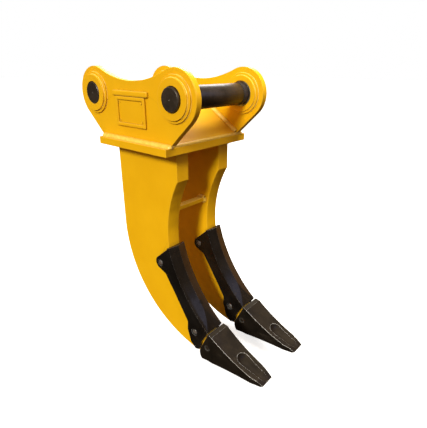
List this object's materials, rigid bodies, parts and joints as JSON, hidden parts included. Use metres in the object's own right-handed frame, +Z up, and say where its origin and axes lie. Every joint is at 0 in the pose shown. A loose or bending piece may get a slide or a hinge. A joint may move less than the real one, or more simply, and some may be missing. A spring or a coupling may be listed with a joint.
{
  "type": "excavator twin-shank ripper",
  "caption": "Pin-on ripper for an excavator arm: curved shanks under a welded hanger with cross pins, with pinned-on shank guards and wedge-shaped teeth.",
  "frame": {"origin": "on the arm pin's axis, half way between the two ears", "axes": "+X the way the teeth point, +Y the left side, from which the hanger pins are drawn, +Z up; the link pin is 438 mm behind the arm pin at -X"},
  "size_m": [0.909, 0.459, 1.123],
  "materials": {
    "yellow_paint": "satin enamel on welded plate",
    "black_guard_paint": "glossy black enamel on a casting",
    "black_tooth_steel": "black enamel on a forging, brown-grey on top, worn edges",
    "dark_pin_steel": "black oiled, turned",
    "bush_steel": "hardened and ground",
    "black_rubber": "matt",
    "retainer_rubber": "matt",
    "cross_pin_steel": "dull grey with rust bloom",
    "zinc_steel": "zinc plated"
  },
  "bodies": {
    "ripper_frame": {"arm_keeper_lug": "yellow_paint", "base_plate": "yellow_paint", "front_slope_plate": "yellow_paint", "left_arm_boss": "yellow_paint", "left_arm_bush": "bush_steel", "left_arm_inner_doubler": "yellow_paint", "left_arm_outer_doubler": "yellow_paint", "left_arm_spacer": "black_rubber", "left_ear": "yellow_paint", "left_guard_lower_retainer": "retainer_rubber", "left_guard_upper_retainer": "retainer_rubber", "left_link_boss": "yellow_paint", "left_link_bush": "bush_steel", "left_link_inner_doubler": "yellow_paint", "left_link_outer_doubler": "yellow_paint", "left_link_spacer": "black_rubber", "left_shank": "yellow_paint", "left_shank_guard": "black_guard_paint", "left_tooth": "black_tooth_steel", "left_tooth_retainer": "retainer_rubber", "link_keeper_lug": "yellow_paint", "nameplate": "yellow_paint", "nameplate_frame": "yellow_paint", "nameplate_rail": "yellow_paint", "nameplate_rivets": "yellow_paint", "rear_slope_plate": "yellow_paint", "right_arm_boss": "yellow_paint", "right_arm_bush": "bush_steel", "right_arm_inner_doubler": "yellow_paint", "right_arm_outer_doubler": "yellow_paint", "right_arm_spacer": "black_rubber", "right_ear": "yellow_paint", "right_guard_lower_retainer": "retainer_rubber", "right_guard_upper_retainer": "retainer_rubber", "right_link_boss": "yellow_paint", "right_link_bush": "bush_steel", "right_link_inner_doubler": "yellow_paint", "right_link_outer_doubler": "yellow_paint", "right_link_spacer": "black_rubber", "right_shank": "yellow_paint", "right_shank_guard": "black_guard_paint", "right_tooth": "black_tooth_steel", "right_tooth_retainer": "retainer_rubber", "shank_brace": "yellow_paint"},
    "arm_pin_assembly": {"arm_pin": "dark_pin_steel", "arm_pin_flag": "yellow_paint", "arm_keeper_bolt": "zinc_steel", "arm_keeper_washer": "zinc_steel"},
    "link_pin_assembly": {"link_pin": "dark_pin_steel", "link_pin_flag": "yellow_paint", "link_keeper_bolt": "zinc_steel", "link_keeper_washer": "zinc_steel"},
    "right_guard_upper_pin_body": {"right_guard_upper_pin": "cross_pin_steel"},
    "right_guard_lower_pin_body": {"right_guard_lower_pin": "cross_pin_steel"},
    "right_tooth_pin_body": {"right_tooth_pin": "dark_pin_steel"},
    "left_guard_upper_pin_body": {"left_guard_upper_pin": "cross_pin_steel"},
    "left_guard_lower_pin_body": {"left_guard_lower_pin": "cross_pin_steel"},
    "left_tooth_pin_body": {"left_tooth_pin": "dark_pin_steel"}
  },
  "joints": [
    {"name": "arm_pin_draw", "type": "slide", "parent": "ripper_frame", "child": "arm_pin_assembly", "axis": [0, 1, 0], "range_m": [0, 0.65]},
    {"name": "link_pin_draw", "type": "slide", "parent": "ripper_frame", "child": "link_pin_assembly", "axis": [0, 1, 0], "range_m": [0, 0.65]},
    {"name": "right_guard_upper_pin_draw", "type": "slide", "parent": "ripper_frame", "child": "right_guard_upper_pin_body", "axis": [0, -1, 0], "range_m": [0, 0.12]},
    {"name": "right_guard_lower_pin_draw", "type": "slide", "parent": "ripper_frame", "child": "right_guard_lower_pin_body", "axis": [0, -1, 0], "range_m": [0, 0.12]},
    {"name": "right_tooth_pin_draw", "type": "slide", "parent": "ripper_frame", "child": "right_tooth_pin_body", "axis": [0, -1, 0], "range_m": [0, 0.12]},
    {"name": "left_guard_upper_pin_draw", "type": "slide", "parent": "ripper_frame", "child": "left_guard_upper_pin_body", "axis": [0, 1, 0], "range_m": [0, 0.12]},
    {"name": "left_guard_lower_pin_draw", "type": "slide", "parent": "ripper_frame", "child": "left_guard_lower_pin_body", "axis": [0, 1, 0], "range_m": [0, 0.12]},
    {"name": "left_tooth_pin_draw", "type": "slide", "parent": "ripper_frame", "child": "left_tooth_pin_body", "axis": [0, 1, 0], "range_m": [0, 0.12]}
  ]
}
